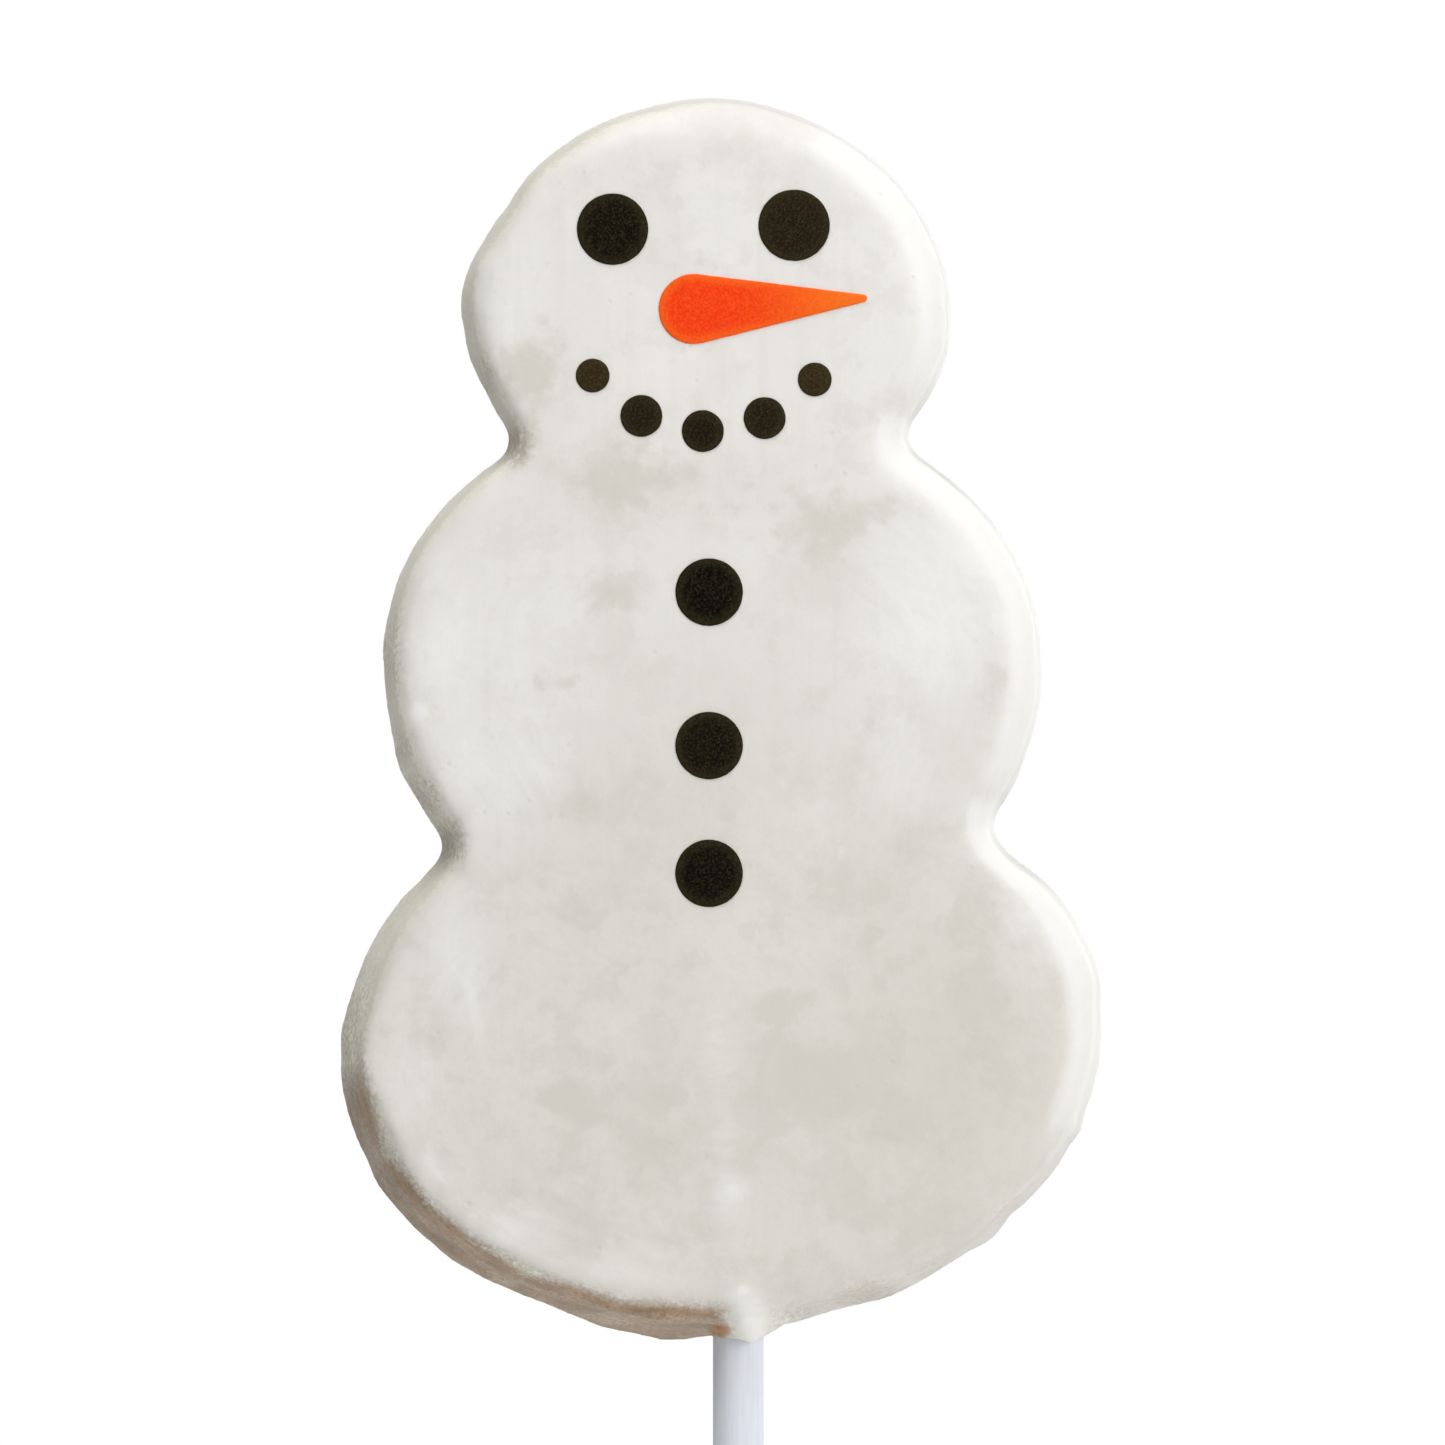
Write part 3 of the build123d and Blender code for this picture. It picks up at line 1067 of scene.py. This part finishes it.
def make_icing(node, look, slot, surface, worn=0.0):
    """One icing piece: the CAD piece's outline, laid as a thin cushion over the coating."""
    line, root, tip = icing_rim(node)
    spine = tip - root
    share = np.clip((line - root) @ spine / max(spine @ spine, 1e-9), 0, 1)
    cells = max(1, round(np.linalg.norm(spine) / SPINE_CELL))
    cell = np.round(share * cells).astype(int)
    share = cell / cells
    core = root + share[:, None] * spine
    reach = np.linalg.norm(line - core, axis=1)
    reach = (np.bincount(cell, reach) / np.bincount(cell))[cell]
    towards_tip = smooth_step(0.2, 1.0, share)
    made = bmesh.new()
    layer = made.verts.layers.float.new("edge")
    rings = []
    for inward, proud in cushion_rings(reach):
        at = line + (core - line) * np.clip(inward / reach, 0, 1)[:, None]
        edge = np.maximum(0.5 * smooth_step(1.0, 0.05, inward), 0.95 * towards_tip)
        ring = [made.verts.new((x, surface(x, z) - up, z)) for (x, z), up in zip(at, proud)]
        for vert, amount in zip(ring, edge):
            vert[layer] = float(amount)
        rings.append(ring)
    for lower, upper in zip(rings, rings[1:]):
        join_rings(made, lower, upper)
    made.faces.new(rings[0])
    bmesh.ops.remove_doubles(made, verts=made.verts, dist=1e-3)
    bmesh.ops.recalc_face_normals(made, faces=made.faces)
    mesh = mesh_from(made, node)
    points = points_of(mesh)
    points += normals_of(mesh) * layered_noise(points, ICING_GRAIN)[:, None]
    set_points(mesh, points)
    set_attribute(mesh, "worn", np.full(len(points), worn))
    return finished(node + "_icing", mesh, look, slot, node)


STICK_SIDES = 128
STICK_RINGS = 220
STICK_TOP_SHARE = 0.6  # of the CAD stick's buried part, how much is made here
STICK_EDGE_ROUND = 0.12
SEAM_DEPTH = 0.035  # step where the paper's edge ends
SEAM_START = 0.35  # where the seam is at the lower end, as a share of a turn
SEAM_TWIST = 0.0006  # turns of the seam for each mm of height
PAPER_ROLL = 0.4  # from layer to layer on the lower end


def swirl_at(turn, z):
    """How far round from the paper's edge a place on the stick is, from 0 to 1."""
    return (turn - SEAM_START - SEAM_TWIST * z) % 1.0


def stick_ring(made, place_at):
    """A ring round the stick. The function gives its radius and height at each turn."""
    ring = []
    for turn in np.arange(STICK_SIDES) / STICK_SIDES:
        radius, z = place_at(turn)
        angle = 2 * math.pi * turn
        ring.append(made.verts.new((radius * math.cos(angle), radius * math.sin(angle), z)))
    return ring


def roll_height(radius, turn):
    """Height of the lower end, where the rolled layers show as a low spiral."""
    return 0.05 + 0.04 * math.cos(2 * math.pi * (radius / PAPER_ROLL - turn))


def make_stick():
    """The rolled paper stick, with the step where the paper's edge ends along it."""
    made = bmesh.new()
    top = CORE_LOW[2] + STICK_TOP_SHARE * (STICK_HIGH[2] - CORE_LOW[2])
    rings = []
    for z in [0.0, 0.04, STICK_EDGE_ROUND, *np.linspace(0.3, top, STICK_RINGS)]:
        widest = STICK_RADIUS - 0.10 * (1 - smooth_step(0.0, STICK_EDGE_ROUND, z))
        rings.append(stick_ring(made, lambda turn: (widest - SEAM_DEPTH * swirl_at(turn, z), z)))
    for lower, upper in zip(rings, rings[1:]):
        join_rings(made, lower, upper)
    made.faces.new(rings[-1])
    outer = rings[0]
    for radius in np.linspace(1.75, 0.15, 9):
        inner = stick_ring(made, lambda turn: (radius, roll_height(radius, turn)))
        join_rings(made, inner, outer)
        outer = inner
    made.faces.new(outer)
    bmesh.ops.recalc_face_normals(made, faces=made.faces)
    mesh = mesh_from(made, "stick")
    points = points_of(mesh)
    turn = np.arctan2(points[:, 1], points[:, 0]) / (2 * math.pi) % 1.0
    swirl = swirl_at(turn, points[:, 2])
    set_attribute(mesh, "seam", 0.6 * smooth_step(0.985, 1.0, swirl))
    return finished("stick", mesh, paper_material(), "paper_stick", "lollipop_stick")


SEAL_LOBES = 9  # gentle waves round the collar
SEAL_BLOBS = 4 * SEAL_LOBES
SEAL_RADIUS = 1.75
SEAL_FLARE = 1.25  # how much wider the upper blobs stand
SEAL_RISE = 0.55  # and how much higher
SEAL_TUBE = 0.62  # radius of a blob
SEAL_VOXEL = 0.14


def make_seal():
    """The collar of coating that hugs the stick under the body."""
    made = bmesh.new()
    for i in range(SEAL_BLOBS):
        angle = 2 * math.pi * i / SEAL_BLOBS
        front = 0.5 - 0.5 * math.sin(angle + 0.35)
        spread = SEAL_RADIUS + 0.1 * math.sin(SEAL_LOBES * angle / 3)
        up = 0.75 - 0.35 * front + 0.06 * math.sin(SEAL_LOBES * angle)
        x, y = spread * math.cos(angle), spread * math.sin(angle)
        add_ball(made, x, y, BODY_LOW[2] + up, SEAL_TUBE)
        add_ball(made, SEAL_FLARE * x, SEAL_FLARE * y, BODY_LOW[2] + (up + SEAL_RISE), SEAL_TUBE)
    mesh = remeshed(mesh_from(made, "seal"), SEAL_VOXEL)
    relaxed(mesh, 8)
    points, normal = points_of(mesh), normals_of(mesh)
    points += normal * (0.05 + 0.05 * noise_at(points, 1.3, 51))[:, None]
    set_points(mesh, points)
    # Painted light: the collar's right side, towards the light, is made paler
    set_attribute(mesh, "pale", smooth_step(-0.8, 0.4, points[:, 0]) * 0.8)
    set_attribute(mesh, "bare", bare_at(points[:, [0, 2]], points[:, 1]))
    set_attribute(mesh, "stain", 0.85 * smooth_step(-0.4, -1.8, points[:, 0]))
    return finished("seal", mesh, coating_look, "coating", "stick_seal")


CORE_VOXEL = 0.55
CORE_SHRINK = np.array([0.75, 0.4, 0.75])  # off each side, to stay clear of the coating's wall
CRUMB_RELIEF = ((0.12, 2.2, 61), (0.08, 0.9, 62))  # height, size and seed
PIT_DEPTH = 0.8


def make_core():
    """The baked core: the CAD core with a crumb's uneven, pitted surface."""
    mesh = remeshed(scaled_copy("cookie_core"), CORE_VOXEL)
    relaxed(mesh, 1)
    points, normal = points_of(mesh), normals_of(mesh)
    pits = np.maximum(noise_at(points, 1.5, 63) - 0.35, 0) * PIT_DEPTH
    points += normal * (layered_noise(points, CRUMB_RELIEF) - pits)[:, None]
    middle, half_size = (CORE_LOW + CORE_HIGH) / 2, (CORE_HIGH - CORE_LOW) / 2
    points = middle + (points - middle) * (1 - CORE_SHRINK / half_size)
    set_points(mesh, points)
    return finished("core", mesh, core_material(), "baked_core", "cookie_core")


coating = make_coating()
surface_depth = surface_finder(coating)
make_seal()
make_stick()

dark_icing = icing_material(
    "dark_icing",
    deep=(0.001, 0.0008, 0.0002),
    pale=(0.028, 0.024, 0.0095),
    rim=(0.04, 0.033, 0.013),
    worn=(0.09, 0.055, 0.022),
    sparse=0.07,
)
orange_icing = icing_material(
    "orange_icing",
    deep=(0.93, 0.038, 0.003),
    pale=(0.97, 0.085, 0.014),
    rim=(0.99, 0.2, 0.018),
    worn=(0.97, 0.085, 0.014),
)

# How much browner the other dark pieces are than the top and bottom buttons
WORN = {
    "left_eye": 0.04,
    "right_eye": 0.17,
    "mouth_dot_1": 0.35,
    "mouth_dot_2": 0.14,
    "mouth_dot_3": 0.10,
    "mouth_dot_4": 0.15,
    "mouth_dot_5": 0.38,
    "middle_button": 0.04,
}
for subpart in frame["record"]["subparts"]:
    if subpart["material_slot"] == "dark_icing":
        node = subpart["node"]
        make_icing(node, dark_icing, "dark_icing", surface_depth, WORN.get(node, 0.0))
make_icing("carrot_nose", orange_icing, "orange_icing", surface_depth)

make_core()

# ---- Camera, light and floor --------------------------------------------------------

PICTURE_SIZE = 0.11333  # side of the square that the camera sees, at mid thickness
PICTURE_CENTRE = Vector((-0.00125, 0, (BODY_LOW[2] + 48.07) * MM))
LENS = 600.0


def make_camera():
    data = bpy.data.cameras.new("camera")
    data.lens = LENS
    data.sensor_width = 36.0
    distance = PICTURE_SIZE * data.lens / data.sensor_width
    data.clip_end = 2 * distance
    camera = new_object("camera", data)
    camera.location = PICTURE_CENTRE + Vector((0, -distance, 0))
    camera.rotation_euler = (math.pi / 2, 0, 0)
    bpy.context.scene.camera = camera


def area_light(name, direction, distance, size, power):
    """A soft square light that looks at the body from the given direction."""
    data = bpy.data.lights.new(name, "AREA")
    data.shape = "SQUARE"
    data.size = size
    data.energy = power
    light = new_object(name, data)
    target = Vector(((BODY_LOW + BODY_HIGH) / 2 * MM).tolist())
    towards = Vector(direction).normalized()
    light.location = target + towards * distance
    light.rotation_euler = towards.to_track_quat("Z", "Y").to_euler()
    light.visible_camera = False


def make_world(all_round, from_above, from_behind):
    """White for the camera, and a soft dome that is brighter above and behind."""
    world = bpy.data.worlds.new("studio")
    s = Nodes(world)
    axes = s.split(s.nodes.new("ShaderNodeTexCoord").outputs["Generated"])
    strength = s.plus(s.times(s.larger(axes["Z"], 0.0), from_above), all_round)
    strength = s.plus(s.times(s.larger(axes["Y"], 0.0), from_behind), strength)
    lit = s.nodes["Background"]
    s.put(lit.inputs["Color"], (1.0, 0.99, 0.97))
    s.put(lit.inputs["Strength"], strength)
    seen = s.nodes.new("ShaderNodeBackground")
    s.put(seen.inputs["Color"], (1.0, 1.0, 1.0))
    mix = s.nodes.new("ShaderNodeMixShader")
    s.put(mix.inputs[0], s.nodes.new("ShaderNodeLightPath").outputs["Is Camera Ray"])
    s.put(mix.inputs[1], lit.outputs[0])
    s.put(mix.inputs[2], seen.outputs[0])
    s.put(s.nodes["World Output"].inputs["Surface"], mix.outputs[0])
    bpy.context.scene.world = world


FLOOR_RADIUS = 0.6
FLOOR_SOLID = 0.2  # where the floor starts to fade
FLOOR_GAP = 0.0002  # under the stick's end


def make_floor():
    """A plain pale floor under the stick's end, which fades into the white at its rim."""
    made = bmesh.new()
    bmesh.ops.create_circle(made, cap_ends=True, segments=96, radius=FLOOR_RADIUS)
    mesh = mesh_from(made, "floor")
    s = Shader("floor")
    length = s.nodes.new("ShaderNodeVectorMath")
    length.operation = "LENGTH"
    s.put(length.inputs[0], s.where)
    s.set(Base_Color=(0.92, 0.92, 0.92), Roughness=0.8)
    s.set(Emission_Color=(1, 1, 1), Emission_Strength=0.04)
    s.set(Alpha=s.range(length.outputs["Value"], FLOOR_SOLID, FLOOR_RADIUS, 1.0, 0.0))
    mesh.materials.append(s.material)
    floor = new_object("floor", mesh)
    floor.location.z = -FLOOR_GAP


make_camera()
make_world(0.13, 0.40, 0.12)
area_light("top_light", (-0.22, -0.4, 0.88), 0.5, 0.3, 1.32)
area_light("right_light", (0.68, -0.70, 0.22), 0.5, 0.35, 1.35)
area_light("back_light", (0.72, 0.68, 0.15), 0.5, 0.35, 0.8)
make_floor()
bpy.context.scene.view_settings.view_transform = "Standard"
